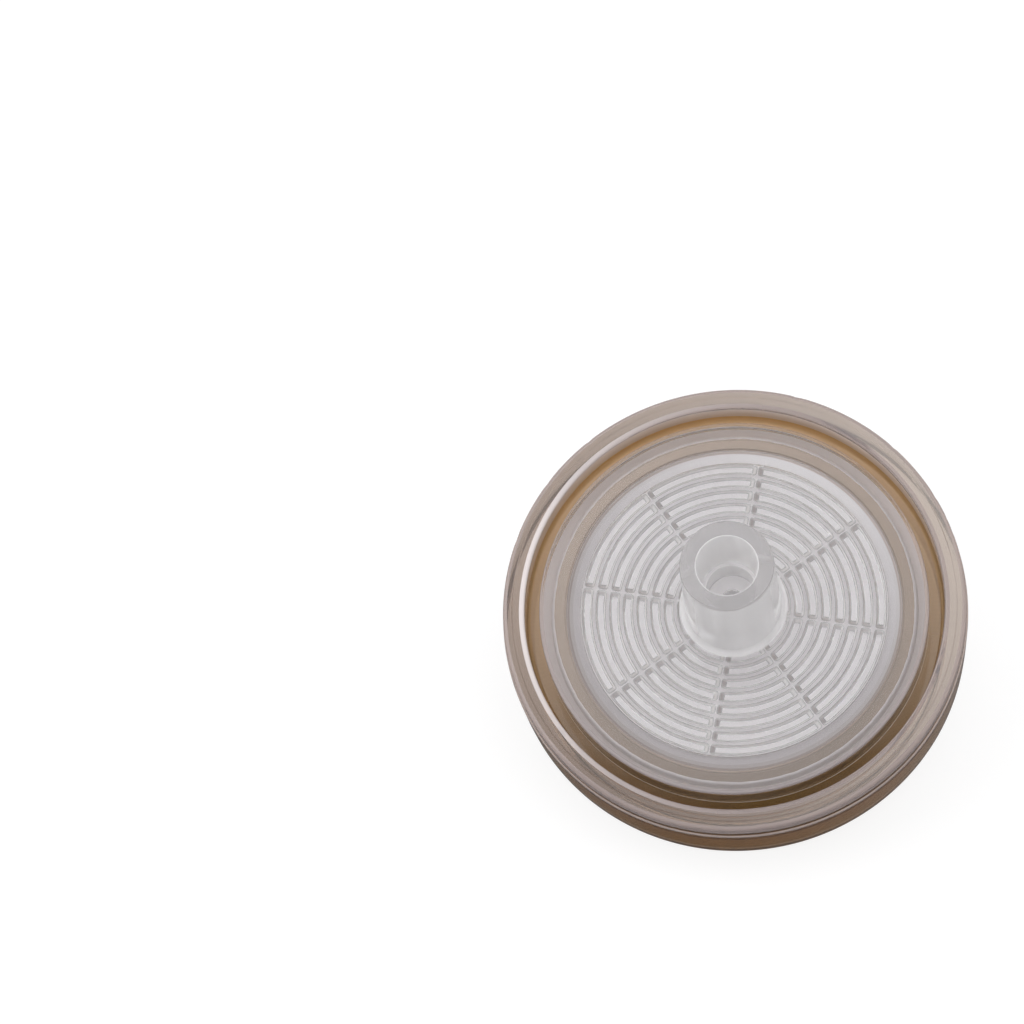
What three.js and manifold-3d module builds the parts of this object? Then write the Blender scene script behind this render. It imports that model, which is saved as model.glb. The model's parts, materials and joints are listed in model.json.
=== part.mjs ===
// Luer syringe filter: a clear inlet housing with a female luer hub, a tinted outlet housing
// with a male luer inside a lock collar, and a round membrane held between them.
//
// Millimetres, +Z up. The filter lies as it comes to rest on a bench, on the back edge of its
// rim and on the tip of its outlet, with the inlet hub leaning up and towards -Y.
//
// Each piece is drawn about its own axis: height 0 is the front face of the rim, the inlet hub
// rises above it and the outlet hangs below. The group at the end lays the whole filter down.

import * as THREE from 'three';
import { mergeVertices } from 'three/addons/utils/BufferGeometryUtils.js';
import Module from 'manifold-3d';

const wasm = await Module();
wasm.setup();

// ---- Driving dimensions -------------------------------------------------------------------

// Membrane, and the flat land that clamps its edge.
const membraneRadius = 12.0;
const membraneThickness = 0.15;
const membraneGap = 0.05; // above and below it
const membraneMargin = 0.1; // past the land's outer edge
const landWidth = 1.0;

// Ribs that spread the flow over the membrane, the same field in both housings.
const ribPitch = 0.97;
const ribWidth = 0.64;
const ribDraft = 0.06; // taken off each flank at the tip
const ribHeight = 0.35;
const ribLandGap = 0.14; // from the outermost rib to the land
const openRadius = 3.25; // left without ribs round the ports
const spokeCount = 8;
const spokeWidth = 0.55;
const spokeTurn = -3; // degrees, where the first radial channel points

// Seat round the membrane, weld skirt, open channel and rim, from the inside outwards.
const seatClearance = 0.05; // round the membrane's edge
const seatWall = 0.85;
const seamGap = 0.1; // between the two housings
const skirtWall = 0.8;
const skirtEdgeRound = 0.3;
const channelWidth = 1.1;
const channelRound = 0.3;
const rimWall = 1.6;
const rimEdgeRound = 0.4;
const rimDraft = 0.15; // taken off the rim's radius by its back edge
const partingDepth = 2.0; // from the rim's front face down to the mould's parting ledge
const partingStep = 0.06;

// Thicknesses along the axis.
const windowThickness = 1.0; // clear disc in front of the membrane
const outletDisc = 1.4; // tinted disc behind the membrane
const channelWeb = 0.85; // under the open channel
const recessDepth = 2.85; // from the rim's back edge in to the outlet disc
const recessWall = 1.6; // rim beside the recess
const recessRound = 0.5;

// Inlet hub with its female luer socket.
const luerTaper = 0.06; // on the diameter, for the socket and the cone
const socketMouth = 4.3; // diameter
const socketTaperDepth = 5.3;
const socketLowerDepth = 2.2; // narrower length below the taper
const socketStep = 0.25; // radial step between the two
const socketFloorHeight = 1.5; // above the window's front face
const inletPort = 1.5; // diameter
const hubWall = 1.22; // at the mouth
const hubDraft = 0.08; // gain in radius from end to root
const hubRootFillet = 0.5;
const hubEdgeRound = 0.15;

// Outlet cone, a male luer, inside its lock collar.
const outletPort = 2.1; // diameter
const tipDiameter = 3.95; // at the end of the cone
const tipEdgeRound = 0.25;
const tipProtrusion = 2.1; // past the end of the collar
const coneRootFillet = 0.3;
const collarHeight = 7.3; // from the outlet disc's back face
const collarBore = 8.0; // diameter
const collarFloor = 0.6; // thickness of the pocket's floor on the outlet disc
const collarWall = 1.0; // at its free end
const collarDraft = 0.5; // gain in outer radius from the end to the foot
const collarFootStep = 0.3; // further gain over the foot
const collarFootHeight = 2.4;
const collarFootFillet = 0.3;
const collarEdgeRound = 0.2;
const collarLeadIn = 0.2;

// Facets.
const turnedSides = 64;
const ribSides = 36;
const filletSteps = 2;

// ---- Heights and radii that follow --------------------------------------------------------

const windowInner = -windowThickness;
const ribTips = windowInner - ribHeight;
const membraneTop = ribTips - membraneGap;
const membraneBottom = membraneTop - membraneThickness;
const supportTips = membraneBottom - membraneGap;
const chamberFloor = supportTips - ribHeight;
const outletBack = chamberFloor - outletDisc;
const channelFloor = outletBack + channelWeb;
const rimBack = outletBack - recessDepth;
const collarEnd = outletBack - collarHeight;
const tipEnd = collarEnd - tipProtrusion;

const landOuter = membraneRadius - membraneMargin;
const landInner = landOuter - landWidth;
const outerRib = landInner - ribLandGap - ribWidth / 2;
const ribCount = 1 + Math.floor((outerRib - ribWidth / 2 - openRadius) / ribPitch);
const seatInner = membraneRadius + seatClearance;
const seatOuter = seatInner + seatWall;
const skirtInner = seatOuter + seamGap;
const skirtOuter = skirtInner + skirtWall;
const channelOuter = skirtOuter + channelWidth;
const rimRadius = channelOuter + rimWall;
const rimBackRadius = rimRadius - rimDraft;
const tipRadius = tipDiameter / 2;

// ---- Outlines and solids ------------------------------------------------------------------

/** Closed outline through the corners [radius, height, fillet], with each fillet as an arc. */
function filletedOutline(corners) {
  const outline = [];
  corners.forEach(([radius, height, fillet = 0], index) => {
    const corner = new THREE.Vector2(radius, height);
    if (fillet === 0) {
      outline.push(corner);
      return;
    }
    const before = new THREE.Vector2(...corners.at(index - 1).slice(0, 2)).sub(corner);
    const after = new THREE.Vector2(...corners[(index + 1) % corners.length].slice(0, 2)).sub(corner);
    const half = Math.acos(before.dot(after) / (before.length() * after.length())) / 2;
    const room = 0.45 * Math.min(before.length(), after.length());
    const cut = Math.min(fillet / Math.tan(half), room);
    before.normalize();
    after.normalize();
    const toCentre = before.clone().add(after).normalize();
    const centre = corner.clone().addScaledVector(toCentre, cut / Math.cos(half));
    const first = corner.clone().addScaledVector(before, cut).sub(centre);
    const last = corner.clone().addScaledVector(after, cut).sub(centre);
    const sweep = Math.atan2(first.cross(last), first.dot(last));
    for (let step = 0; step <= filletSteps; step += 1) {
      outline.push(first.clone().rotateAround(new THREE.Vector2(), (sweep * step) / filletSteps).add(centre));
    }
  });
  return outline;
}

/** Solid from a three.js geometry: only positions matter, with shared vertices merged. */
function toSolid(geometry) {
  const bare = geometry.index ? geometry : mergeVertices(geometry);
  bare.deleteAttribute('normal');
  bare.deleteAttribute('uv');
  const merged = mergeVertices(bare, 1e-5);
  return new wasm.Manifold(
    new wasm.Mesh({
      numProp: 3,
      vertProperties: merged.attributes.position.array,
      triVerts: Uint32Array.from(merged.index.array),
    }),
  );
}

/** Turns an outline about the +Z axis, with a flat facet facing -Y. */
function turned(corners, sides = turnedSides) {
  const outline = filletedOutline(corners);
  if (THREE.ShapeUtils.area(outline) < 0) outline.reverse();
  outline.push(outline[0].clone());
  const geometry = new THREE.LatheGeometry(outline, sides, Math.PI / sides);
  geometry.rotateX(Math.PI / 2);
  return toSolid(geometry);
}

/** Concentric ribs that rise from baseHeight towards tipHeight, parted by radial channels. */
function ribField(baseHeight, tipHeight) {
  const rooted = baseHeight + Math.sign(baseHeight - tipHeight) * ribHeight / 2;
  const footHalf = ribWidth / 2;
  const tipHalf = footHalf - ribDraft;
  let field = null;
  for (let rib = 0; rib < ribCount; rib += 1) {
    const middle = outerRib - rib * ribPitch;
    const ring = turned(
      [
        [middle - footHalf, rooted],
        [middle + footHalf, rooted],
        [middle + footHalf, baseHeight],
        [middle + tipHalf, tipHeight],
        [middle - tipHalf, tipHeight],
        [middle - footHalf, baseHeight],
      ],
      ribSides,
    );
    field = field ? field.add(ring) : ring;
  }
  const reach = outerRib + ribWidth;
  for (let spoke = 0; spoke < spokeCount; spoke += 1) {
    const channel = new THREE.BoxGeometry(reach, spokeWidth, 4 * ribHeight);
    channel.translate(reach / 2, 0, baseHeight);
    channel.rotateZ(THREE.MathUtils.degToRad(spokeTurn + (360 * spoke) / spokeCount));
    field = field.subtract(toSolid(channel));
  }
  return field;
}

/** Named mesh from a solid, with its own material. */
function namedMesh(name, solid, material) {
  const { vertProperties, triVerts } = solid.getMesh();
  const geometry = new THREE.BufferGeometry();
  geometry.setAttribute('position', new THREE.BufferAttribute(Float32Array.from(vertProperties), 3));
  geometry.setIndex(Array.from(triVerts));
  geometry.computeVertexNormals();
  const mesh = new THREE.Mesh(geometry, new THREE.MeshStandardMaterial(material));
  mesh.name = name;
  return mesh;
}

// ---- Pieces -------------------------------------------------------------------------------

/** Clear half: hub with its luer socket, round window, ribs, clamping land and weld skirt. */
function inletHousing() {
  const taperEnd = socketFloorHeight + socketLowerDepth;
  const hubEnd = taperEnd + socketTaperDepth;
  const mouthRadius = socketMouth / 2;
  const taperEndRadius = mouthRadius - (socketTaperDepth * luerTaper) / 2;
  const floorRadius = taperEndRadius - socketStep;
  const hubRadius = mouthRadius + hubWall;
  const skirtFoot = channelFloor + seamGap;
  const body = turned([
    [inletPort / 2, windowInner],
    [landInner, windowInner],
    [landInner, ribTips],
    [landOuter, ribTips],
    [landOuter, windowInner],
    [skirtInner, windowInner],
    [skirtInner, skirtFoot],
    [skirtOuter, skirtFoot],
    [skirtOuter, 0, skirtEdgeRound],
    [hubRadius + hubDraft, 0, hubRootFillet],
    [hubRadius, hubEnd, hubEdgeRound],
    [mouthRadius, hubEnd],
    [taperEndRadius, taperEnd],
    [floorRadius, taperEnd],
    [floorRadius, socketFloorHeight],
    [inletPort / 2, socketFloorHeight],
  ]);
  return namedMesh('inlet_housing', body.add(ribField(windowInner, ribTips)), {
    color: 0xe8e6e4,
    roughness: 0.08,
    metalness: 0,
    transparent: true,
    opacity: 0.35,
  });
}

/** Round membrane that lies between the ribs of the two housings. */
function membrane() {
  const disc = turned([
    [0, membraneBottom],
    [membraneRadius, membraneBottom],
    [membraneRadius, membraneTop],
    [0, membraneTop],
  ]);
  return namedMesh('membrane', disc, { color: 0xf4f3f0, roughness: 0.9, metalness: 0 });
}

/** Tinted half: rim, channel, membrane seat, support ribs, outlet cone and lock collar. */
function outletHousing() {
  const recessRadius = rimRadius - recessWall;
  const pocketFloor = outletBack - collarFloor;
  const coneRootRadius = tipRadius + ((pocketFloor - tipEnd) * luerTaper) / 2;
  const portRadius = outletPort / 2;
  const boreRadius = collarBore / 2;
  const collarRadius = boreRadius + collarWall;
  const waistRadius = collarRadius + collarDraft;
  const footRadius = waistRadius + collarFootStep;
  const body = turned([
    [portRadius, chamberFloor],
    [landInner, chamberFloor],
    [landInner, supportTips],
    [seatInner, supportTips],
    [seatInner, windowInner - seamGap],
    [seatOuter, windowInner - seamGap],
    [seatOuter, channelFloor],
    [channelOuter, channelFloor, channelRound],
    [channelOuter, 0, rimEdgeRound],
    [rimRadius - partingStep, 0, rimEdgeRound],
    [rimRadius - partingStep, -partingDepth],
    [rimRadius, -partingDepth],
    [rimBackRadius, rimBack, rimEdgeRound],
    [recessRadius, rimBack, rimEdgeRound],
    [recessRadius, outletBack, recessRound],
    [footRadius, outletBack, collarFootFillet],
    [waistRadius, outletBack - collarFootHeight],
    [collarRadius, collarEnd, collarEdgeRound],
    [boreRadius + collarLeadIn, collarEnd],
    [boreRadius, collarEnd + collarLeadIn],
    [boreRadius, pocketFloor],
    [coneRootRadius, pocketFloor, coneRootFillet],
    [tipRadius, tipEnd, tipEdgeRound],
    [portRadius, tipEnd],
  ]);
  return namedMesh('outlet_housing', body.add(ribField(chamberFloor, supportTips)), {
    color: 0xa58b6f,
    roughness: 0.12,
    metalness: 0,
    transparent: true,
    opacity: 0.6,
  });
}

// ---- Resting pose -------------------------------------------------------------------------

/** Lean that lets the rim's back edge and the outlet's tip touch one plane, in radians. */
function restingLean() {
  const facet = Math.cos(Math.PI / turnedSides);
  const across = (rimBackRadius - rimEdgeRound - (tipRadius - tipEdgeRound)) * facet;
  const along = rimBack + rimEdgeRound - (tipEnd + tipEdgeRound);
  const roundness = rimEdgeRound - tipEdgeRound;
  return Math.atan2(along, across) - Math.asin(roundness / Math.hypot(across, along));
}

/** Lays the filter on the ground, with the middle of its box above the origin. */
function laidDown(pieces) {
  const filter = new THREE.Group();
  filter.add(...pieces);
  filter.rotation.x = restingLean();
  const part = new THREE.Group();
  part.add(filter);
  const box = new THREE.Box3().setFromObject(part, true);
  const middle = box.getCenter(new THREE.Vector3());
  filter.position.set(-middle.x, -middle.y, -box.min.z);
  part.updateMatrixWorld(true);
  return part;
}

export default laidDown([inletHousing(), membrane(), outletHousing()]);
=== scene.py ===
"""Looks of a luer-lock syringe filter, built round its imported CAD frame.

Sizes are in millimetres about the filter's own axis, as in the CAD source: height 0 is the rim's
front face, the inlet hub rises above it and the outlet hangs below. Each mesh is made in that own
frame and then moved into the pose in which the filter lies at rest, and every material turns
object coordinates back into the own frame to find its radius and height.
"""

import json
import logging
import math
from collections.abc import Callable
from dataclasses import dataclass, field, replace
from enum import Enum
from functools import partial
from typing import Any

import bpy
import numpy as np
from mathutils import Matrix, Vector


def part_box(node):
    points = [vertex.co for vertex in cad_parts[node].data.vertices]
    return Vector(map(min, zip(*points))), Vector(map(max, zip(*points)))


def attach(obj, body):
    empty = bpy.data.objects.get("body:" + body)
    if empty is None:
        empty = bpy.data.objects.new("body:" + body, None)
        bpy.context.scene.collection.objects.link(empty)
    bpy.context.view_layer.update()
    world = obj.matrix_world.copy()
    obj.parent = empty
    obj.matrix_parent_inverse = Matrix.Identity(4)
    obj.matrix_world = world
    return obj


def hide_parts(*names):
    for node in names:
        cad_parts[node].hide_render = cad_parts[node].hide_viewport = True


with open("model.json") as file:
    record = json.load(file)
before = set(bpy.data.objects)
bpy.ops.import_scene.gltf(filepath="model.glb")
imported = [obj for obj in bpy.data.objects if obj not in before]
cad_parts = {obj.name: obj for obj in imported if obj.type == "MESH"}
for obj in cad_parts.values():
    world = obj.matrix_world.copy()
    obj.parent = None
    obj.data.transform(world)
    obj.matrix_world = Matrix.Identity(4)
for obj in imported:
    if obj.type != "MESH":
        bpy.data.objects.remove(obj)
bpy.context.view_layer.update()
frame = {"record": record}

log = logging.getLogger("syringe_filter")

MM = 0.001  # metres in a millimetre

Adder = Callable[..., bpy.types.Node]  # add_node, bound to one node tree


class Skin(Enum):
    """Which finish a stretch of a moulding's surface takes."""

    POLISHED = 0
    ETCHED = 1
    WELD = 2
    ERODED = 3


class Relief(Enum):
    """Name by which a fine form or painted light finds the stretches of an outline that take it.
    """

    NONE = "none"
    RIBS = "ribs"
    THREAD = "thread"
    SEAM = "seam"
    EDGE = "edge"
    SEAT = "seat"
    FLOOR = "floor"
    WALL = "wall"
    LIP = "lip"
    FACE = "face"
    SIDE = "side"
    NOTCH = "notch"


# ---- Frame ----


@dataclass(frozen=True)
class FilterFrame:
    """The filter's own frame in the world, with its axis as local Z."""

    matrix: Matrix

    @classmethod
    def from_cad(cls, record: dict[str, Any], membrane_middle: float) -> "FilterFrame":
        """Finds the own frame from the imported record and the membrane's box.

        Args:
            record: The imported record, whose inlet mount gives the axis.
            membrane_middle: Height of the membrane's middle, in mm.

        Returns:
            The filter's own frame.
        """
        mount = next(m for m in record["mounts"] if m["name"] == "luer_inlet_face")
        axis = Vector(mount["axis"]).normalized()
        across = Vector((1.0, 0.0, 0.0))
        low, high = (Vector(corner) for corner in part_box("membrane"))
        origin = (low + high) / 2 - axis * membrane_middle * MM
        turn = Matrix((across, axis.cross(across), axis)).transposed()
        return cls(Matrix.Translation(origin) @ turn.to_4x4())

    def coordinates(self, add: Adder) -> bpy.types.NodeSocket:
        """Adds nodes that give a material its place in the own frame.

        Args:
            add: Adds a node to the material's tree.

        Returns:
            The socket that holds the place, in metres.
        """
        back = self.matrix.inverted()
        place = add("ShaderNodeTexCoord")
        turn = {"Location": back.to_translation(), "Rotation": back.to_euler()}
        return add("ShaderNodeMapping", {"Vector": place.outputs["Object"]} | turn).outputs[0]


# ---- Shared sizes ----


@dataclass(frozen=True)
class Stack:
    """Heights and radii that the housings and the membrane share, in mm as all sizes are."""

    cad_sides: int = 64  # the CAD's turned faces are flat towards X and Y
    window_inner: float = -1.0
    rib_height: float = 0.35
    membrane_top: float = -1.40
    membrane_bottom: float = -1.55
    support_tips: float = -1.60
    outlet_back: float = -3.35
    channel_floor: float = -2.2
    rim_back: float = -6.12
    land_inner: float = 10.9
    land_outer: float = 11.9
    membrane_radius: float = 12.0
    seat_inner: float = 12.05
    seat_outer: float = 12.9
    skirt_inner: float = 13.0
    skirt_outer: float = 13.8
    channel_outer: float = 14.85
    rim_radius: float = 16.5
    rim_back_radius: float = 16.32
    seam_gap: float = 0.1

    @property
    def roundness(self) -> float:
        """Share of a CAD radius that reaches its flats, so that round faces stay in its box."""
        return math.cos(math.pi / self.cad_sides)

    @property
    def rib_tips(self) -> float:
        """Height of the inlet ribs' tips."""
        return self.window_inner - self.rib_height

    @property
    def chamber_floor(self) -> float:
        """Height that the outlet's ribs rise from."""
        return self.support_tips - self.rib_height


# ---- Columns: how points are spread round the axis ----


@dataclass(frozen=True)
class Columns:
    """Lines that a turned grid is drawn on, gathered along the radial channels' edges."""

    spokes: int = 8
    first_spoke: float = 2.0  # degrees
    offsets: tuple[float, ...] = (0.0, 0.04, 0.08, 0.14, 0.2, 0.27, 0.34, 0.4, 0.44)
    between: int = 18  # lines evenly spread between two channels
    widest: float = 0.7  # sine of the largest angle from a channel, near the axis

    def even(self) -> np.ndarray:
        """Angle of each line where they are evenly spread, in radians."""
        count = self.spokes * (2 * len(self.offsets) - 1 + self.between)
        return math.radians(self.first_spoke) + np.arange(count) * 2 * math.pi / count

    def gathered(self, radius: float) -> np.ndarray:
        """Angle of each line where they run along the channels.

        Args:
            radius: Radius in mm at which the angles are asked for.

        Returns:
            One angle in radians for each line.
        """
        sector = 2 * math.pi / self.spokes
        near = np.arcsin(np.clip(np.array(self.offsets) / radius, 0, self.widest))
        middle = np.linspace(near[-1], sector - near[-1], self.between + 2)[1:-1]
        local = np.concatenate([near, middle, sector - near[:0:-1]])
        starts = math.radians(self.first_spoke) + np.arange(self.spokes) * sector
        return (starts[:, None] + local[None, :]).ravel()

    def from_spoke(self, radius: float | np.ndarray, angle: np.ndarray) -> np.ndarray:
        """Measures how far points lie from the nearest channel's middle line.

        Args:
            radius: Their radius or radii in mm.
            angle: Their angles in radians.

        Returns:
            The distances in mm.
        """
        sector = 2 * math.pi / self.spokes
        local = (angle - math.radians(self.first_spoke) + sector / 2) % sector - sector / 2
        return np.abs(np.sin(local)) * radius


# ---- Outlines ----


@dataclass(frozen=True)
class Corner:
    """Corner of a turned outline, and what the stretch that follows it is like.

    welded is the share of light that crosses the stretch as if no face were there. tint is an
    sRGB colour that it adds to its finish, and milk the share of light that it scatters beyond
    the finish's haze; on some stretches they give it its own colour, on others they paint shade,
    light and reflections on it. steps puts that many points on it, and radii, where given, says
    at which radii.
    """

    radius: float
    height: float
    fillet: float = 0.0
    skin: Skin = Skin.POLISHED
    relief: Relief = Relief.NONE
    gathered: bool = False
    welded: float = 0.0
    tint: str = "#ffffff"
    milk: float = 0.0
    steps: int = 1
    radii: tuple[float, ...] = ()


@dataclass(frozen=True)
class Spot:
    """One point of a finished outline, and the corner whose stretch it starts or lies on."""

    radius: float
    height: float
    corner: Corner


def outline(corners: list[Corner], arc_steps: int = 4, most: float = 0.48) -> list[Spot]:
    """Rounds the corners of a closed outline and fills its stretches.

    Args:
        corners: Corners in order; the last joins the first.
        arc_steps: Segments in each fillet's arc.
        most: Share of a corner's shorter stretch that its fillet may take up.

    Returns:
        The outline's points in order.
    """
    spots: list[Spot] = []
    for index, corner in enumerate(corners):
        here = Vector((corner.radius, corner.height))
        before = corners[index - 1]
        after = corners[(index + 1) % len(corners)]
        points = [here]
        if corner.fillet > 0:
            back = Vector((before.radius, before.height)) - here
            ahead = Vector((after.radius, after.height)) - here
            half = back.angle(ahead) / 2
            cut = min(corner.fillet / math.tan(half), most * min(back.length, ahead.length))
            back.normalize()
            ahead.normalize()
            centre = here + (back + ahead).normalized() * (cut / math.cos(half))
            first = here + back * cut - centre
            last = here + ahead * cut - centre
            sweep = math.atan2(first.cross(last), first.dot(last))
            spins = (Matrix.Rotation(sweep * n / arc_steps, 2) for n in range(arc_steps + 1))
            points = [centre + spin @ first for spin in spins]
        if corner.radii:
            points += [Vector((radius, corner.height)) for radius in corner.radii]
        elif corner.steps > 1:
            start, end = points[-1], Vector((after.radius, after.height))
            points += [start.lerp(end, step / corner.steps) for step in range(1, corner.steps)]
        spots += [Spot(point.x, point.y, corner) for point in points]
    return spots


def smooth(value: np.ndarray | float) -> np.ndarray | float:
    """Eases a share from 0 to 1, flat at both ends."""
    share = np.clip(value, 0.0, 1.0)
    return share * share * (3 - 2 * share)


# ---- Turned mesh ----


@dataclass
class TurnedGrid:
    """Closed outline swept round the axis, with radius and height free at every point."""

    spots: list[Spot]
    columns: Columns
    roundness: float
    sharp_angle: float = 38.0  # degrees beyond which an edge isn't shaded as a curve
    radius: np.ndarray = field(init=False)
    height: np.ndarray = field(init=False)
    angle: np.ndarray = field(init=False)
    finish: np.ndarray = field(init=False)  # of each face: tint, and milk as its alpha

    def __post_init__(self) -> None:
        """Lays out one row for each outline point and one column for each line."""
        even = self.columns.even()
        self.radius = np.repeat([[s.radius] for s in self.spots], len(even), axis=1)
        self.height = np.repeat([[s.height] for s in self.spots], len(even), axis=1)
        self.angle = np.array(
            [self.columns.gathered(s.radius) if s.corner.gathered else even for s in self.spots]
        )
        tints = [[linear(spot.corner.tint, spot.corner.milk)] for spot in self.spots]
        self.finish = np.repeat(tints, len(even), axis=1)

    def rows(self, relief: Relief) -> list[int]:
        """Rows whose stretch carries the given relief."""
        return [row for row, spot in enumerate(self.spots) if spot.corner.relief is relief]

    def middles(self, row: int) -> tuple[np.ndarray, np.ndarray]:
        """Finds the middles of the faces that follow a row.

        Args:
            row: The row.

        Returns:
            Their radii in mm and their angles in radians.
        """
        after = (row + 1) % len(self.spots)
        radius = (self.radius[row] + self.radius[after]) / 2
        angle = (self.angle[row] + self.angle[after]) / 2
        return radius, angle + (np.roll(angle, -1) - angle) % (2 * math.pi) / 2

    def mesh(self, name: str) -> bpy.types.Mesh:
        """Joins the grid into one closed mesh in metres, smooth but for its real edges.

        Args:
            name: Name of the mesh.

        Returns:
            The mesh, with each face's skin as its material index, and its welded share and
            its tint as attributes for the materials.
        """
        rows, turns = self.radius.shape
        reach = self.radius * self.roundness * MM
        places = np.stack(
            [reach * np.cos(self.angle), reach * np.sin(self.angle), self.height * MM], axis=-1
        ).reshape(-1, 3)
        index = np.arange(rows * turns).reshape(rows, turns)
        below = np.roll(index, -1, axis=0)
        quads = np.stack(
            [index, np.roll(index, -1, axis=1), np.roll(below, -1, axis=1), below], axis=-1
        ).reshape(-1, 4)
        area = sum(
            a.radius * b.height - b.radius * a.height
            for a, b in zip(self.spots, self.spots[1:] + self.spots[:1])
        )
        if area < 0:
            quads = quads[:, ::-1]
        mesh = bpy.data.meshes.new(name)
        mesh.from_pydata(places.tolist(), [], quads.tolist())
        skins = np.repeat([s.corner.skin.value for s in self.spots], turns).astype(np.int32)
        mesh.polygons.foreach_set("material_index", skins)
        welded = np.repeat([s.corner.welded for s in self.spots], turns)
        mesh.attributes.new("welded", "FLOAT", "FACE").data.foreach_set("value", welded)
        tint = mesh.attributes.new("tint", "FLOAT_COLOR", "FACE")
        tint.data.foreach_set("color", self.finish.ravel())
        mesh.shade_smooth()
        mesh.set_sharp_from_angle(angle=math.radians(self.sharp_angle))
        mesh.validate()
        return mesh


# ---- Node helpers ----


def linear(hex_colour: str, alpha: float = 1.0) -> tuple[float, float, float, float]:
    """Turns an sRGB hex colour to a linear one.

    Args:
        hex_colour: Colour such as "#c8b59a".
        alpha: Fourth value of the result.

    Returns:
        Linear red, green, blue and alpha.
    """
    levels = [int(hex_colour[i : i + 2], 16) / 255 for i in (1, 3, 5)]
    red, green, blue = (
        v / 12.92 if v <= 0.04045 else ((v + 0.055) / 1.055) ** 2.4 for v in levels
    )
    return (red, green, blue, alpha)


def add_node(
    tree: bpy.types.NodeTree,
    kind: str,
    inputs: dict[str | int, Any] | None = None,
    **settings: Any,
) -> bpy.types.Node:
    """Adds a node with its settings, values and links.

    Args:
        tree: Node tree that takes it.
        kind: The node's type name.
        inputs: For each input, a value, or the output socket that feeds it.
        **settings: Properties of the node itself.

    Returns:
        The new node.
    """
    node = tree.nodes.new(kind)
    for name, value in settings.items():
        setattr(node, name, value)
    for socket, value in (inputs or {}).items():
        if isinstance(value, bpy.types.NodeSocket):
            tree.links.new(value, node.inputs[socket])
        else:
            node.inputs[socket].default_value = value
    return node


def empty_tree(owner: bpy.types.Material | bpy.types.World) -> Adder:
    """Gives a material or world a node tree with nothing in it.

    Args:
        owner: The material or world.

    Returns:
        What adds a node to that tree.
    """
    owner.use_nodes = True
    owner.node_tree.nodes.clear()
    return partial(add_node, owner.node_tree)


# ---- Finishes ----


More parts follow.
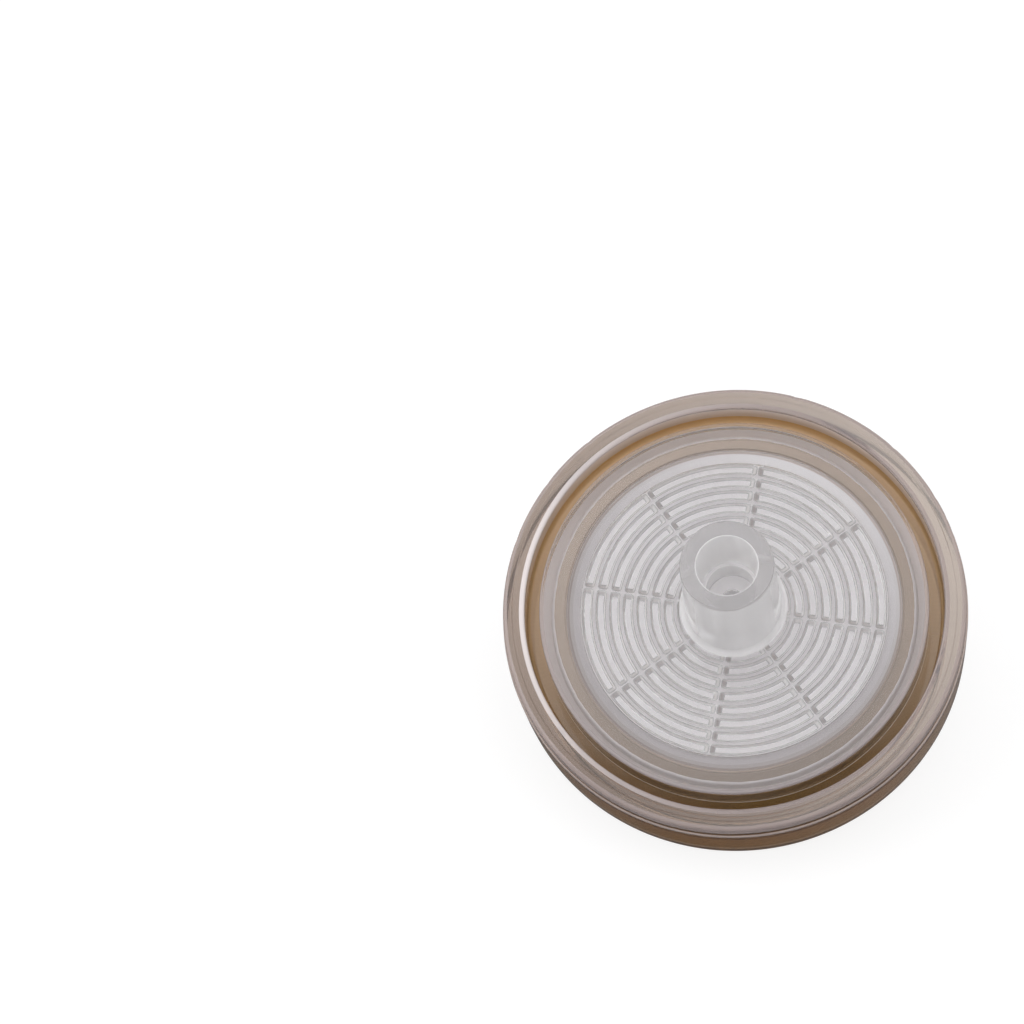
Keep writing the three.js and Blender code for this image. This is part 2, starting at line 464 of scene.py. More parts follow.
@dataclass(frozen=True)
class MouldedStyrenic:
    """Transparent styrenic polymer, injection-moulded in a turned steel tool.

    It bends light strongly, shows crisp window-like glints, and carries the faint concentric
    marks of the turned tool and the slow ripple of a cooled melt. Light for shadows goes
    straight through it, dimmed where the surface is steep to it, as a curved lens throws it
    aside.
    """

    name: str
    body: str  # sRGB colour that each pass through a surface keeps
    melt: str  # sRGB colour that the depth of the polymer takes on
    density: float  # of the melt's absorption, per metre
    shade: str  # sRGB colour of light that goes straight through a face
    steep_shade: str  # the same where the face is steep to the light
    roughness: float
    haze: float = 0.0  # share of the light that the surface scatters
    ior: float = 1.57
    mark_spacing: float = 0.16  # mm between tool marks, coarser than real ones to show
    mark_depth: float = 0.00005  # mm
    mark_waver: float = 0.6  # how unevenly the marks run
    ripple_size: float = 1.8  # mm
    ripple_depth: float = 0.0012  # mm
    grain_size: float = 0.09  # mm, of an etched tool's texture
    grain_depth: float = 0.0  # mm
    rough_spread: float = 0.3  # share by which the grain changes the roughness
    steep_blend: float = 0.35  # how soon a face counts as steep

    def material(self, place: FilterFrame) -> bpy.types.Material:
        """Builds the node material.

        Args:
            place: The filter's own frame, in which its patterns are laid.

        Returns:
            The material.
        """
        material = bpy.data.materials.new(self.name)
        add = empty_tree(material)
        spot = place.coordinates(add)
        ripple, grain = (
            add("ShaderNodeTexNoise", {"Vector": spot, "Scale": 1 / (size * MM), "Detail": detail})
            for size, detail in ((self.ripple_size, 2.0), (self.grain_size, 3.0))
        )
        # At a scale of 1 the rings lie 2 pi / 20 apart.
        rings = {"Scale": math.pi / (10 * self.mark_spacing * MM), "Distortion": self.mark_waver}
        marks = add(
            "ShaderNodeTexWave",
            {"Vector": spot, "Detail": 2.0} | rings,
            wave_type="RINGS",
            rings_direction="Z",
        )
        normal: dict[str, bpy.types.NodeSocket] = {}
        for pattern, depth in (
            (ripple, self.ripple_depth),
            (marks, self.mark_depth),
            (grain, self.grain_depth),
        ):
            if depth > 0:
                height = {"Height": pattern.outputs["Fac"], "Distance": depth * MM}
                bump = add("ShaderNodeBump", height | normal)
                normal = {"Normal": bump.outputs["Normal"]}
        low, high = (self.roughness * (1 + side * self.rough_spread) for side in (-1, 1))
        spread = {"Value": grain.outputs["Fac"], "To Min": low, "To Max": high}
        rough = add("ShaderNodeMapRange", spread)
        tint, welded = (
            add("ShaderNodeAttribute", attribute_name=name) for name in ("tint", "welded")
        )
        body = add(
            "ShaderNodeMix",
            {0: 1.0, 6: linear(self.body), 7: tint.outputs["Color"]},
            data_type="RGBA",
            blend_type="MULTIPLY",
        )
        parts = {0: 1.0 - self.haze, 1: tint.outputs["Alpha"]}
        clear = add("ShaderNodeMath", parts, operation="SUBTRACT", use_clamp=True)
        inputs = {
            "Base Color": body.outputs[2],
            "Roughness": rough.outputs["Result"],
            "IOR": self.ior,
            "Transmission Weight": clear.outputs[0],
        }
        surface = add("ShaderNodeBsdfPrincipled", inputs | normal)
        facing = add("ShaderNodeLayerWeight", {"Blend": self.steep_blend})
        shade = add(
            "ShaderNodeMix",
            {0: facing.outputs["Facing"], 6: linear(self.shade), 7: linear(self.steep_shade)},
            data_type="RGBA",
        )
        # Where ultrasound has melted the halves into one, light crosses as if without a face.
        passed = add(
            "ShaderNodeMix",
            {0: welded.outputs["Fac"], 6: shade.outputs[2], 7: tint.outputs["Color"]},
            data_type="RGBA",
        )
        through = add("ShaderNodeBsdfTransparent", {"Color": passed.outputs[2]})
        path = add("ShaderNodeLightPath")
        causes = {0: path.outputs["Is Shadow Ray"], 1: welded.outputs["Fac"]}
        straight = add("ShaderNodeMath", causes, operation="MAXIMUM")
        shares = {0: straight.outputs[0], 1: surface.outputs[0], 2: through.outputs[0]}
        mixed = add("ShaderNodeMixShader", shares)
        output = {"Surface": mixed.outputs[0]}
        if self.density > 0:
            melt = {"Color": linear(self.melt), "Density": self.density}
            output["Volume"] = add("ShaderNodeVolumeAbsorption", melt).outputs[0]
        add("ShaderNodeOutputMaterial", output)
        return material


@dataclass(frozen=True)
class CastMembrane:
    """Cellulose acetate membrane, cast as a sheet: matt, off-white, and softly cloudy."""

    name: str = "cellulose_acetate_membrane_cast"
    colour: str = "#faf8fa"
    cloudy: str = "#f2f0f2"
    cloud_size: float = 2.5  # mm
    pore_size: float = 0.06  # mm, coarser than real pores to show
    pore_depth: float = 0.004  # mm
    roughness: float = 0.85
    ior: float = 1.48

    def material(self, place: FilterFrame) -> bpy.types.Material:
        """Builds the node material.

        Args:
            place: The filter's own frame, in which its patterns are laid.

        Returns:
            The material.
        """
        material = bpy.data.materials.new(self.name)
        add = empty_tree(material)
        spot = place.coordinates(add)
        cloud, pores = (
            add("ShaderNodeTexNoise", {"Vector": spot, "Scale": 1 / (size * MM), "Detail": detail})
            for size, detail in ((self.cloud_size, 4.0), (self.pore_size, 2.0))
        )
        colour = add(
            "ShaderNodeMix",
            {0: cloud.outputs["Fac"], 6: linear(self.colour), 7: linear(self.cloudy)},
            data_type="RGBA",
        )
        tint = add("ShaderNodeAttribute", attribute_name="tint")
        tinted = add(
            "ShaderNodeMix",
            {0: 1.0, 6: colour.outputs[2], 7: tint.outputs["Color"]},
            data_type="RGBA",
            blend_type="MULTIPLY",
        )
        height = {"Height": pores.outputs["Fac"], "Distance": self.pore_depth * MM}
        bump = add("ShaderNodeBump", height)
        inputs = {
            "Base Color": tinted.outputs[2],
            "Roughness": self.roughness,
            "IOR": self.ior,
            "Normal": bump.outputs["Normal"],
        }
        surface = add("ShaderNodeBsdfPrincipled", inputs)
        add("ShaderNodeOutputMaterial", {"Surface": surface.outputs[0]})
        return material


# Clear styrenic off a polished tool: all but invisible, it shows by its glints and dark edges.
CLEAR = MouldedStyrenic(
    name="clear_mbs_moulded",
    body="#fbfafa",
    melt="#ffffff",
    density=0.0,
    shade="#fafafa",
    steep_shade="#5a5857",
    roughness=0.06,
    haze=0.03,
)

# The same melt off an etched part of the tool: the hub looks like ground glass.
ETCHED = replace(
    CLEAR,
    name="clear_mbs_etched",
    shade="#fcfbfb",
    steep_shade="#dad8d7",
    roughness=0.14,
    haze=0.26,
    grain_depth=0.001,
)

# Off the spark-eroded pocket of the tool that makes the ribs: their glints are soft.
ERODED = replace(CLEAR, name="clear_mbs_eroded", roughness=0.14, haze=0.05)

# Where ultrasound has melted and frozen it again, it is milky grey and full of fine bubbles.
WELD = replace(
    CLEAR,
    name="clear_mbs_welded",
    body="#e2dde1",
    shade="#e6e5e4",
    steep_shade="#c4c2c1",
    roughness=0.35,
    haze=0.5,
    grain_depth=0.006,
)

# Smoke-brown styrenic: tan where it is thin, dark as tea where the eye looks along it.
TINTED = MouldedStyrenic(
    name="tinted_mbs_moulded",
    body="#efe8e4",
    melt="#c2ac8c",
    density=200.0,
    shade="#f1ede8",
    steep_shade="#8a7c6e",
    roughness=0.05,
    haze=0.1,
)


# ---- Sub-assemblies ----


@dataclass(frozen=True)
class RibField:
    """Concentric arc ribs, parted by radial channels, that stand on a flat floor, in mm."""

    outer: float = 10.44
    pitch: float = 0.97
    count: int = 8
    open_radius: float = 3.25
    margin: float = 0.3  # width inside the field where a grid already follows its channels
    steps: tuple[float, ...] = (0.0, 0.12, 0.18, 0.22, 0.26, 0.3, 0.34, 0.38, 0.485)
    crest: float = 0.16  # half width of a rib's tip
    foot: float = 0.4  # half width of a rib where it meets the floor
    flank_painted_shade: str = "#b0a8a7"  # painted shade: tint of the flanks that face away from the lit side
    flank_painted_light: str = "#ffffff"  # painted light: tint of those that face it
    flank_milk: float = 0.9
    painted_light_side: tuple[float, float] = (0.97, 0.24)  # direction across the axis of the side that the flanks look lit from
    probe: float = 0.02  # between the points that a slope is taken from
    channel_top: float = 0.44  # half width where the ribs' tips begin
    # Shares of the way over a rib's end, and its height there as shares.
    ramp_places: tuple[float, ...] = (0.0, 0.08, 0.18, 0.82, 0.92, 1.0)
    ramp_heights: tuple[float, ...] = (0.0, 0.03, 0.12, 0.88, 0.97, 1.0)

    @property
    def start(self) -> float:
        """Radius from which a grid follows the channels."""
        return self.open_radius - self.margin

    def radii(self) -> tuple[float, ...]:
        """Spreads points over each rib and its flanks, by the steps from its middle.

        Returns:
            The radii of the points across the field, outwards.
        """
        found = [self.open_radius, self.outer + self.steps[-1]]
        for rib in range(self.count):
            middle = self.outer - rib * self.pitch
            found += [middle - off for off in self.steps[1:]]
            found += [middle + off for off in self.steps[:-1]]
        return tuple(sorted(found))

    def rise(self, radius: np.ndarray, from_spoke: np.ndarray) -> np.ndarray:
        """Height of the field as a share of the ribs' height.

        Args:
            radius: Radii in mm.
            from_spoke: Distances in mm from the nearest radial channel's middle.

        Returns:
            Shares from 0 on the floor to 1 on the tips.
        """
        place = (self.outer - radius) / self.pitch
        rib = np.clip(np.round(place), 0, self.count - 1)
        off = np.abs(place - rib) * self.pitch
        crown = 1 - smooth((off - self.crest) / (self.foot - self.crest))
        along = np.minimum(from_spoke / self.channel_top, 1.0)
        return crown * np.interp(along, self.ramp_places, self.ramp_heights)

    def emboss(self, grid: TurnedGrid, height: float) -> None:
        """Raises the ribs on a grid's rib rows.

        Args:
            grid: Turned grid to change.
            height: How far the tips stand from the floor, in mm, negative for downwards.
        """
        for row in grid.rows(Relief.RIBS):
            radius = grid.radius[row]
            spoke = grid.columns.from_spoke(float(radius[0]), grid.angle[row])
            grid.height[row] += height * self.rise(radius, spoke)

    def slope(
        self, columns: Columns, radius: np.ndarray, angle: np.ndarray
    ) -> tuple[np.ndarray, np.ndarray]:
        """Height of the field and the direction in which it falls away.

        Args:
            columns: Where the radial channels are.
            radius: Radii in mm.
            angle: Angles in radians.

        Returns:
            Shares from 0 to 1, and unit vectors across the axis.
        """
        x, y = radius * np.cos(angle), radius * np.sin(angle)
        shares = []
        for dx, dy in ((0, 0), (self.probe, 0), (0, self.probe)):
            reach = np.hypot(x + dx, y + dy)
            shares.append(self.rise(reach, columns.from_spoke(reach, np.arctan2(y + dy, x + dx))))
        fall = np.stack([shares[0] - shares[1], shares[0] - shares[2]], axis=-1)
        return shares[0], fall / np.maximum(np.linalg.norm(fall, axis=-1, keepdims=True), 1e-9)

    def frost_and_paint_shade(self, grid: TurnedGrid) -> None:
        """Makes the ribs' flanks and ends matt, as the tool's eroded walls leave them, and paints
        shade on them: darker where they face away from one side, paler where they face it.

        Args:
            grid: Turned grid to change.
        """
        dark, pale = (np.array(linear(c)[:3]) for c in (self.flank_painted_shade, self.flank_painted_light))
        for row in grid.rows(Relief.RIBS):
            radius, angle = grid.middles(row)
            share, fall = self.slope(grid.columns, radius, angle)
            # Painted shade and light: flanks facing away from the lit side darker, those facing it
            # paler.
            facing = np.clip(0.5 + 0.5 * fall @ np.array(self.painted_light_side), 0, 1)[:, None]
            flank = (4 * share * (1 - share))[:, None]  # 1 halfway up, 0 on floor and tips
            grid.finish[row, :, :3] *= 1 - flank + flank * (dark + (pale - dark) * facing)
            grid.finish[row, :, 3:] += self.flank_milk * flank


@dataclass(frozen=True)
class PaintedSideLight:
    """Painted light and shade: a ring looks lit towards one side and shaded away from it."""

    relief: Relief  # of the rows that take it
    angle: float  # degrees round from +X in the own frame, towards which the ring looks lit
    milk: float  # share of light that it scatters there, which paints it lighter
    tint: str  # painted sRGB colour there
    gather: float = 1.0  # how closely it keeps to that side

    def lay(self, grid: TurnedGrid) -> None:
        """Mixes the painted light into the finish of a grid's rows.

        Args:
            grid: Turned grid to change.
        """
        other = np.array(linear(self.tint, self.milk))
        for row in grid.rows(self.relief):
            turn = grid.angle[row] - math.radians(self.angle)
            share = (((1 + np.cos(turn)) / 2) ** self.gather)[:, None]
            grid.finish[row] += share * (other - grid.finish[row])


@dataclass(frozen=True)
class Waver:
    """Uneven line along a moulding's weld seam, the same each run."""

    seed: int
    waves: tuple[int, ...]  # round the circle, in each of the parts that are summed
    depth: float  # mm

    def shift(self, grid: TurnedGrid, places: np.ndarray) -> None:
        """Lets the seam rows fall short by up to twice the depth.

        Args:
            grid: Turned grid to change.
            places: Its radius or its height, whichever falls short.
        """
        for row in grid.rows(Relief.SEAM):
            angle = grid.angle[row]
            rng = np.random.default_rng(self.seed)
            total = np.zeros_like(angle)
            for count in self.waves:
                share, phase = rng.uniform(0.5, 1.0), rng.uniform(0, 2 * math.pi)
                total += share * np.sin(count * angle + phase)
            places[row] += self.depth * (total / len(self.waves) - 1)


@dataclass(frozen=True)
class Nicks:
    """Small isolated bites along a moulding's edges."""

    seed: int
    count: int  # round the circle
    width: float  # half width of the widest, in radians
    depth: float  # of the deepest, in mm

    def cut(self, grid: TurnedGrid) -> None:
        """Takes the bites out of a grid's edge rows.

        Args:
            grid: Turned grid to change.
        """
        for row in grid.rows(Relief.EDGE):
            rng = np.random.default_rng(self.seed)
            total = np.zeros_like(grid.angle[row])
            for place in rng.uniform(0, 2 * math.pi, self.count):
                half = self.width * rng.uniform(0.4, 1.0)
                off = np.abs((grid.angle[row] - place + math.pi) % (2 * math.pi) - math.pi)
                total = np.maximum(total, rng.uniform(0.4, 1.0) * (1 - smooth(off / half)))
            grid.radius[row] -= self.depth * total


@dataclass
class TurnedPiece:
    """Piece of the filter that is turned round its axis, with what all such pieces share."""

    stack: Stack
    ribs: RibField = RibField()
    columns: Columns = Columns()
    name: str = ""
    node: str = ""  # CAD node that it replaces
    slot: str = ""  # the record's material slot
    finishes: tuple[MouldedStyrenic | CastMembrane, ...] = ()  # in the order of Skin
    # painted light and shade on one side of some rings
    painted_side_lights: tuple[PaintedSideLight, ...] = ()

    def corners(self) -> list[Corner]:
        """Lists the corners of the turned outline, in order."""
        raise NotImplementedError

    def form(self, grid: TurnedGrid) -> None:
        """Adds the fine forms that aren't the same all round.

        Args:
            grid: Turned grid to change.
        """
        raise NotImplementedError

    def build(self, place: FilterFrame) -> None:
        """Makes the piece, lays it in the frame, hangs it on the root body and hides the CAD part
        that it replaces.

        Args:
            place: The filter's own frame.
        """
        grid = TurnedGrid(outline(self.corners()), self.columns, self.stack.roundness)
        self.form(grid)
        # Paints light and shade on one side of some rings.
        for side_light in self.painted_side_lights:
            side_light.lay(grid)
        mesh = grid.mesh(self.name)
        mesh.transform(place.matrix)
        for finish in self.finishes:
            mesh.materials.append(finish.material(place))
        piece = bpy.data.objects.new(self.name, mesh)
        bpy.context.scene.collection.objects.link(piece)
        flats = piece.modifiers.new("true_flats", "WEIGHTED_NORMAL")
        flats.keep_sharp = True
        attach(piece, "root")
        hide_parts(self.node)
        log.info("%s: %d faces", self.name, len(mesh.polygons))


@dataclass
class InletHousing(TurnedPiece):
    """Clear half: hub with its luer socket, round window, ribs, land and weld skirt."""

    name: str = "inlet_moulding"
    node: str = "inlet_housing"
    slot: str = "clear_polymer"
    finishes: tuple[MouldedStyrenic, ...] = (CLEAR, ETCHED, WELD, ERODED)
    port: float = 0.75
    hub_end: float = 8.99
    hub_radius: float = 3.28
    hub_root: float = 3.4
    mouth: float = 2.15
    taper_end: float = 1.991
    taper_foot: float = 3.7
    socket_floor_radius: float = 1.741
    socket_floor: float = 1.5
    rib_relief: float = 0.3  # the ribs show softer than their full height
    land_band: float = 0.55  # width of the land's inner part, painted lighter than its outer part
    edge_width: float = 0.31  # width of the skirt's top that has its edge's finish
    flat_margin: float = 0.9  # from an edge to the ring that keeps the flat top's shading flat
    seat_share: float = 0.88  # of the window over the seat that the weld has made one with it
    waver: Waver = Waver(11, (7, 23, 41, 60, 87), 0.05)
    nicks: Nicks = Nicks(5, 14, 0.02, 0.01)
    # Painted light: the seat paler and milkier towards 230°, the skirt's edge golden towards 95°
    # and the land paler towards 75°.
    painted_side_lights: tuple[PaintedSideLight, ...] = (
        PaintedSideLight(Relief.SEAT, 230.0, 0.9, "#f2eae2"),
        PaintedSideLight(Relief.EDGE, 95.0, 0.2, "#d8b48a", 2.0),
        PaintedSideLight(Relief.FACE, 75.0, 0.0, "#ffffff", 2.0),
    )

    def corners(self) -> list[Corner]:
        """Lists the corners of the turned outline.

        Returns:
            The corners, from the port outwards and back over the hub.
        """
        s = self.stack
        skirt_foot = s.channel_floor + s.seam_gap
        etched = Skin.ETCHED
        land = {"gathered": True, "relief": Relief.FACE}
        return [
            Corner(self.port, s.window_inner, 0.08),
            Corner(self.ribs.start, s.window_inner, gathered=True, relief=Relief.RIBS,
                   skin=Skin.ERODED, radii=self.ribs.radii()),
            Corner(s.land_inner, s.window_inner, gathered=True),
            # Painted shade: the clear land is tinted grey, darker over its outer part.
            Corner(s.land_inner, s.rib_tips, 0.05, tint="#bfbabb", **land),
            Corner(s.land_inner + self.land_band, s.rib_tips, tint="#aea6a3", **land),
            Corner(s.land_outer, s.rib_tips, 0.05, gathered=True),
            Corner(s.land_outer, s.window_inner, 0.05, gathered=True, relief=Relief.SEAT,
                   welded=self.seat_share, tint="#ddd2c6", milk=0.9),
            # The weld seam's inner wall: milky from the weld's bubbles, made whiter still as a
            # painted glint.
            Corner(s.skirt_inner, s.window_inner, 0.2, skin=Skin.WELD, relief=Relief.SEAM,
                   milk=0.8),
            Corner(s.skirt_inner, skirt_foot, 0.03, skin=Skin.WELD),
            # Painted shade: the clear skirt's outer wall is tinted dark brown, as the shaded
            # channel round it looks.
            Corner(s.skirt_outer, skirt_foot, 0.08, tint="#7c5a2c"),
            # Painted reflection: the clear skirt's rounded top edge is tinted lilac and faintly
            # milky.
            Corner(s.skirt_outer, 0.0, 0.3, relief=Relief.EDGE, tint="#d2cacc", milk=0.2),
            Corner(s.skirt_outer - self.edge_width, 0.0),
            Corner(s.skirt_outer - self.flat_margin, 0.0),
            Corner(self.hub_root + self.flat_margin, 0.0),
            Corner(self.hub_root, 0.0, 0.5, skin=etched, milk=0.14),
            Corner(self.hub_radius, self.hub_end, 0.15, skin=etched, tint="#cccaca", milk=0.04),
            Corner(self.mouth, self.hub_end, 0.06, skin=etched, milk=0.3),
            Corner(self.taper_end, self.taper_foot, 0.05, milk=0.3),
            Corner(self.socket_floor_radius, self.taper_foot, 0.05, milk=0.4),
            Corner(self.socket_floor_radius, self.socket_floor, 0.12, milk=0.1),
            Corner(self.port, self.socket_floor, 0.08),
        ]

    def form(self, grid: TurnedGrid) -> None:
        """Adds the ribs, and the weld seam's and the edges' unevenness.

        Args:
            grid: Turned grid to change.
        """
        self.ribs.emboss(grid, -self.rib_relief)
        self.ribs.frost_and_paint_shade(grid)
        self.waver.shift(grid, grid.radius)
        self.nicks.cut(grid)


@dataclass
class OutletHousing(TurnedPiece):
    """Tinted half: rim, channel, membrane seat, support ribs, cone and lock collar."""

    name: str = "outlet_moulding"
    node: str = "outlet_housing"
    slot: str = "tinted_polymer"
    finishes: tuple[MouldedStyrenic, ...] = (TINTED,)
    port: float = 1.05
    face_line: float = 15.7  # radius of the fine step on the rim's face
    face_step: float = 0.07
    parting_depth: float = 1.5
    parting_step: float = 0.1  # gain in radius at the parting ledge
    parting_fall: float = 0.02  # of the ledge, outwards
    parting_edge: float = 0.2  # height of the milky edge below it, a painted reflection
    side_draft: float = 0.1
    floor_shade: float = 0.65  # height of the channel's wall that takes the floor's painted shade
    lip_width: float = 0.38
    ledge_band: float = 1.0  # depth from which the side above the ledge is browner
    side_band: float = 4.6  # depth from which the rim's side is paler
    recess_radius: float = 14.9
    back_band: float = 13.4  # radius inside which the disc's back is milky
    back_margin: float = 0.3  # inside the seat, to where it is clear again
    collar_end: float = -10.65
    tip_end: float = -12.73
    tip_radius: float = 1.975
    cone_root: float = 2.239
    pocket_floor: float = -3.95
    bore: float = 4.0
    collar_radius: float = 5.0
    waist_radius: float = 5.5
    foot_radius: float = 5.8
    foot_height: float = 2.4
    foot_draft: float = 0.05
    foot_slope: float = 0.15  # half height of the slope from foot to waist
    lead_in: float = 0.2
    thread_lead: float = 5.0
    thread_starts: int = 2
    thread_height: float = 0.42
    thread_base: float = 1.0
    thread_crest: float = 0.3
    thread_runout: float = 0.8
    thread_stop: float = 0.3  # from the pocket's floor
    notch_angle: float = -125.0  # degrees
    notch_width: float = 0.45
    notch_depth: float = 0.3
    waver: Waver = Waver(29, (9, 31, 53, 71, 90), 0.03)
    nicks: Nicks = Nicks(3, 11, 0.035, 0.05)
    # Painted light and shade: the channel's floor lit gold towards 110° and its wall pale towards
    # 95°, a painted highlight on the lip towards 185°, the rim's face paler towards 40° and its
    # side paler towards 90°; each is darker away from its angle.
    painted_side_lights: tuple[PaintedSideLight, ...] = (
        PaintedSideLight(Relief.FLOOR, 110.0, 0.95, "#ffdca8"),
        PaintedSideLight(Relief.WALL, 95.0, 0.95, "#fbf6f6"),
        PaintedSideLight(Relief.LIP, 185.0, 0.8, "#f6f4f6", 3.0),
        PaintedSideLight(Relief.FACE, 40.0, 0.12, "#ffffff"),
        PaintedSideLight(Relief.SIDE, 90.0, 0.0, "#dcc8ac"),
    )

    def corners(self) -> list[Corner]:
        """Lists the corners of the turned outline.

        Returns:
            The corners, from the port outwards, round the rim and back to the cone's tip.
        """
        s = self.stack
        waist = s.outlet_back - self.foot_height
        seat_top = s.window_inner - s.seam_gap
        ledge, parting = s.rim_radius - self.parting_step, -self.parting_depth
        # Painted shade: the channel's floor is tinted dark brown, lit gold towards 110°.
        floor = {"relief": Relief.FLOOR, "tint": "#62420c"}
        face = {"relief": Relief.FACE, "tint": "#d2c8c5"}
        # milky lilac of the rim's rounded edges, a painted reflection
        edge = {"relief": Relief.EDGE, "milk": 0.3}
        return [
            Corner(self.port, s.chamber_floor, 0.08),
            Corner(self.ribs.start, s.chamber_floor, relief=Relief.RIBS, gathered=True,
                   radii=self.ribs.radii()),
            Corner(s.land_inner, s.chamber_floor, gathered=True),
            Corner(s.land_inner, s.support_tips, 0.05, gathered=True),
            Corner(s.seat_inner, s.support_tips, 0.05),
            Corner(s.seat_inner, seat_top, 0.03, welded=1.0),
            Corner(s.seat_outer, seat_top, 0.16, relief=Relief.SEAM),
            Corner(s.seat_outer, s.channel_floor, welded=1.0),
            Corner(s.skirt_outer, s.channel_floor, **floor),
            Corner(s.channel_outer, s.channel_floor, 0.3, **floor),
            # Painted shade and light: the channel's wall is greyish brown, pale and milky towards
            # 95°.
            Corner(s.channel_outer, s.channel_floor + self.floor_shade, relief=Relief.WALL,
                   tint="#c8b8a4"),
            # Painted reflection: the lip round the channel is lilac and faintly milky, with a
            # painted highlight towards 185°.
            Corner(s.channel_outer, 0.0, 0.36, relief=Relief.LIP, tint="#d4ced4", milk=0.16),
            Corner(s.channel_outer + self.lip_width, 0.0, **face),
            Corner(self.face_line, 0.0, 0.03, **face),
            Corner(self.face_line + self.face_step, -self.face_step, 0.03, **face),
            # Painted reflections: the ledge's rounded edge, its underside at the parting and the
            # rim's edge below are lilac and milky; between them the side is browner.
            Corner(ledge, -self.face_step, 0.43, tint="#d4ccce", **edge),
            Corner(ledge, -self.ledge_band, tint="#a87c46"),
            Corner(ledge, parting, 0.03, tint="#d8cfcc", milk=0.4),
            Corner(s.rim_radius, parting - self.parting_fall, 0.05, tint="#d0c9cb", **edge),
            # Painted shade: the rim's side is tinted dark brown, less dark below side_band, and
            # paler towards 90°.
            Corner(s.rim_radius, parting - self.parting_edge, relief=Relief.SIDE, tint="#9c682a"),
            Corner(s.rim_radius - self.side_draft, -self.side_band, relief=Relief.SIDE,
                   tint="#b89468"),
            Corner(s.rim_back_radius, s.rim_back, 0.3),
            Corner(self.recess_radius, s.rim_back, 0.4),
            Corner(self.recess_radius, s.outlet_back, 0.2, tint="#d8ccc6"),
            Corner(self.back_band, s.outlet_back, tint="#ece4e0", milk=0.35),
            Corner(s.seat_inner - self.back_margin, s.outlet_back),
            Corner(self.foot_radius, s.outlet_back, 0.3, relief=Relief.NOTCH, steps=6),
            Corner(self.foot_radius - self.foot_draft, waist + self.foot_slope, 0.1),
            Corner(self.waist_radius, waist - self.foot_slope, 0.2),
            Corner(self.collar_radius, self.collar_end, 0.2),
            Corner(self.bore + self.lead_in, self.collar_end, 0.05),
            Corner(self.bore, self.collar_end + self.lead_in, relief=Relief.THREAD, steps=56),
            Corner(self.bore, self.pocket_floor, 0.15),
            Corner(self.cone_root, self.pocket_floor, 0.3),
            Corner(self.tip_radius, self.tip_end, 0.25),
            Corner(self.port, self.tip_end, 0.1),
        ]

    def thread(self, grid: TurnedGrid) -> None:
        """Raises the collar's two-start inner thread, which fades out near both ends.

        Args:
            grid: Turned grid to change.
        """
        pitch = self.thread_lead / self.thread_starts
        flank = (self.thread_base - self.thread_crest) / 2
        top, end = self.collar_end + self.lead_in, self.pocket_floor - self.thread_stop
        for row in grid.rows(Relief.THREAD):
            height = grid.height[row]
            along = (height - self.thread_lead * grid.angle[row] / (2 * math.pi)) / pitch
            off = np.abs(along - np.round(along)) * pitch
            ridge = smooth((self.thread_base / 2 - off) / flank)
            fade = smooth((height - top) / self.thread_runout)
            fade = fade * smooth((end - height) / self.thread_runout)
            grid.radius[row] -= self.thread_height * ridge * fade

    def notch(self, grid: TurnedGrid) -> None:
        """Cuts the upright notch in the collar's foot.

        Args:
            grid: Turned grid to change.
        """
        for row in grid.rows(Relief.NOTCH):
            off = (grid.angle[row] - math.radians(self.notch_angle) + math.pi) % (2 * math.pi)
            arc = np.abs(off - math.pi) * self.foot_radius
            grid.radius[row] -= self.notch_depth * (1 - smooth(2 * arc / self.notch_width - 0.5))

    def form(self, grid: TurnedGrid) -> None:
        """Adds the ribs, thread and notch, and the seam's and the edges' unevenness.

        Args:
            grid: Turned grid to change.
        """
        self.ribs.emboss(grid, self.stack.rib_height)
        self.thread(grid)
        self.notch(grid)
        self.waver.shift(grid, grid.height)
        self.nicks.cut(grid)


@dataclass
class Membrane(TurnedPiece):
    """Round membrane, faintly pressed by the ribs above it."""

    name: str = "membrane_sheet"
    node: str = "membrane"
    slot: str = "membrane"
    finishes: tuple[CastMembrane, ...] = (CastMembrane(),)
    edge: float = 0.05
    rim_band: float = 11.7  # radius outside which the clamped rim is darker
    press: float = 0.015  # depth of the ribs' print

    @property
    def middle(self) -> float:
        """Height of the membrane's middle."""
        return (self.stack.membrane_top + self.stack.membrane_bottom) / 2

    def corners(self) -> list[Corner]:
        """Lists the corners of the turned outline.

        Returns:
            The corners, from the middle of the back outwards and over the front.
        """
        s = self.stack
        return [
            Corner(0.0, s.membrane_bottom),
            Corner(s.membrane_radius, s.membrane_bottom, self.edge),
            Corner(s.membrane_radius, s.membrane_top, self.edge, tint="#d6c8c0"),
            Corner(self.rim_band, s.membrane_top),
            Corner(s.land_inner, s.membrane_top, relief=Relief.RIBS, gathered=True,
                   radii=self.ribs.radii()[::-1]),
            Corner(self.ribs.start, s.membrane_top, gathered=True),
            Corner(0.0, s.membrane_top),
        ]

    def form(self, grid: TurnedGrid) -> None:
        """Presses the ribs' print into it."""
        self.ribs.emboss(grid, -self.press)


# ---- Studio ----


@dataclass(frozen=True)
class Softbox:
    """One square area lamp that faces the filter."""

    name: str
    azimuth: float  # degrees round from -Y towards +X
    elevation: float  # degrees
    distance: float  # metres
    size: float  # metres
    power: float  # watts

    def build(self, aim: Vector) -> None:
        """Adds the lamp.

        Args:
            aim: Point in the world that it faces.
        """
        lamp = bpy.data.lights.new(self.name, "AREA")
        lamp.shape = "SQUARE"
        lamp.size = self.size
        lamp.energy = self.power
        holder = bpy.data.objects.new(self.name, lamp)
        bpy.context.scene.collection.objects.link(holder)
        back = direction(self.azimuth, self.elevation)
        holder.location = aim + back * self.distance
        holder.rotation_euler = (-back).to_track_quat("-Z", "Y").to_euler()


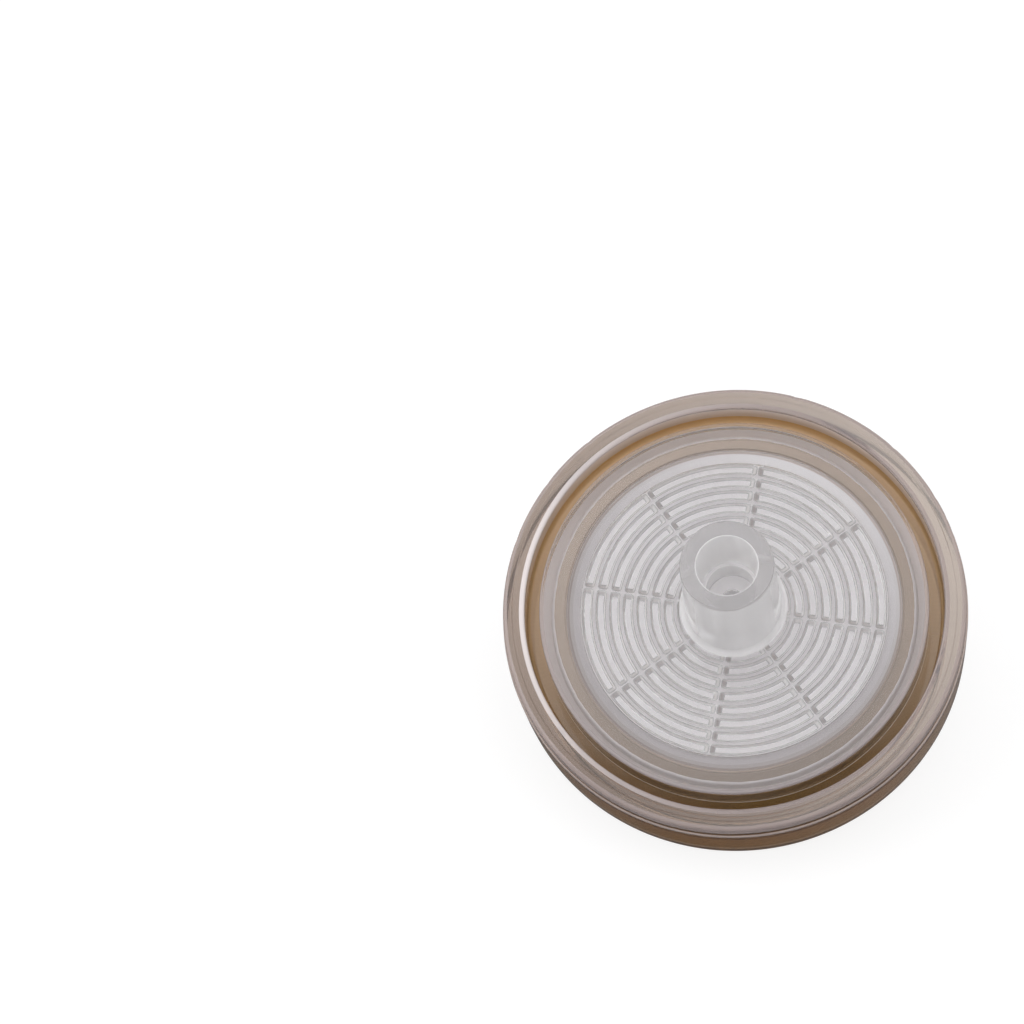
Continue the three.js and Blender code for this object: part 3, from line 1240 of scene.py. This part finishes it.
def direction(azimuth: float, elevation: float) -> Vector:
    """Unit vector from the object towards a place round it.

    Args:
        azimuth: Degrees round from -Y towards +X.
        elevation: Degrees above the horizon.

    Returns:
        The direction.
    """
    a, e = math.radians(azimuth), math.radians(elevation)
    return Vector((math.sin(a) * math.cos(e), -math.cos(a) * math.cos(e), math.sin(e)))


@dataclass
class Studio:
    """Pale floor, white surroundings, soft lamps and the camera."""

    floor_size: float = 3.0  # metres
    floor_colour: str = "#f4f4f4"
    floor_mirrored: str = "#8c8988"  # the same as the filter's gloss mirrors it
    glow_share: float = 0.72  # share of the floor's white that shadows leave
    glow_level: float = 1.1
    glow_through: float = 0.2  # the same share where it is seen through the filter
    surround: str = "#d9d9db"
    surround_level: float = 0.85
    azimuth: float = 9.35  # degrees, of the camera
    elevation: float = 47.85  # degrees
    distance: float = 0.32  # metres
    lens: float = 159.2  # mm
    framing: tuple[float, float] = (-15.98, 5.77)  # mm right of and above the filter's middle
    softboxes: tuple[Softbox, ...] = (
        Softbox("overhead_softbox", 180.0, 84.0, 1.0, 1.2, 3.3),
        Softbox("left_softbox", -80.0, 35.0, 0.8, 1.0, 2.6),
        Softbox("right_softbox", 100.0, 35.0, 0.8, 0.9, 1.1),
        Softbox("front_softbox", 5.0, 26.0, 0.8, 0.9, 1.2),
    )

    def build(self, place: FilterFrame) -> None:
        """Sets up everything round the filter.

        Args:
            place: The filter's own frame.
        """
        aim = place.matrix.translation
        self.floor()
        self.world()
        for softbox in self.softboxes:
            softbox.build(aim)
        self.camera(aim)
        bpy.context.scene.view_settings.view_transform = "Standard"

    def floor(self) -> None:
        """Adds the floor, which looks white and still takes the filter's shadow."""
        half = self.floor_size / 2
        mesh = bpy.data.meshes.new("studio_floor")
        corners = [(-half, -half, 0), (half, -half, 0), (half, half, 0), (-half, half, 0)]
        mesh.from_pydata(corners, [], [(0, 1, 2, 3)])
        material = bpy.data.materials.new("matt_white_card")
        add = empty_tree(material)
        path = add("ShaderNodeLightPath")
        rays = {0: path.outputs["Is Glossy Ray"], 1: path.outputs["Is Transmission Ray"]}
        mirrored = add("ShaderNodeMath", rays, operation="SUBTRACT", use_clamp=True)
        card = add(
            "ShaderNodeMix",
            {0: mirrored.outputs[0], 6: linear(self.floor_colour), 7: linear(self.floor_mirrored)},
            data_type="RGBA",
        )
        lit = add("ShaderNodeBsdfDiffuse", {"Color": card.outputs[2], "Roughness": 1.0})
        glow = add("ShaderNodeEmission", {"Color": (1, 1, 1, 1), "Strength": self.glow_level})
        faint = {0: path.outputs["Is Transmission Ray"], 1: self.glow_through}
        through = add("ShaderNodeMath", faint, operation="MULTIPLY")
        shown = {0: path.outputs["Is Camera Ray"], 1: self.glow_share, 2: through.outputs[0]}
        seen = add("ShaderNodeMath", shown, operation="MULTIPLY_ADD")
        shares = {0: seen.outputs[0], 1: lit.outputs[0], 2: glow.outputs[0]}
        glowing = add("ShaderNodeMixShader", shares)
        add("ShaderNodeOutputMaterial", {"Surface": glowing.outputs[0]})
        mesh.materials.append(material)
        floor = bpy.data.objects.new("studio_floor", mesh)
        bpy.context.scene.collection.objects.link(floor)

    def world(self) -> None:
        """Sets the surroundings: white to the eye, softer as light."""
        world = bpy.data.worlds.new("studio_surround")
        bpy.context.scene.world = world
        add = empty_tree(world)
        glow = {"Color": linear(self.surround), "Strength": self.surround_level}
        soft = add("ShaderNodeBackground", glow)
        white = add("ShaderNodeBackground", {"Color": (1, 1, 1, 1), "Strength": 1.0})
        path = add("ShaderNodeLightPath")
        shares = {0: path.outputs["Is Camera Ray"], 1: soft.outputs[0], 2: white.outputs[0]}
        mixed = add("ShaderNodeMixShader", shares)
        add("ShaderNodeOutputWorld", {"Surface": mixed.outputs[0]})

    def camera(self, middle: Vector) -> None:
        """Adds the camera.

        Args:
            middle: The filter's middle, round which the camera is placed.
        """
        lens = bpy.data.cameras.new("camera")
        lens.lens = self.lens
        lens.clip_start, lens.clip_end = 0.01, 20.0
        back = direction(self.azimuth, self.elevation)
        turn = (-back).to_track_quat("-Z", "Y").to_matrix()
        right, up = turn.col[0], turn.col[1]
        aim = middle + (right * self.framing[0] + up * self.framing[1]) * MM
        camera = bpy.data.objects.new("camera", lens)
        camera.location = middle + back * self.distance
        camera.rotation_euler = (aim - camera.location).to_track_quat("-Z", "Y").to_euler()
        bpy.context.scene.collection.objects.link(camera)
        bpy.context.scene.camera = camera


def main() -> None:
    """Builds the looks and the studio."""
    logging.basicConfig(level=logging.INFO, format="%(name)s: %(message)s")
    stack = Stack()
    membrane = Membrane(stack)
    place = FilterFrame.from_cad(frame["record"], membrane.middle)
    InletHousing(stack).build(place)
    membrane.build(place)
    OutletHousing(stack).build(place)
    Studio().build(place)


if __name__ == "__main__":
    main()
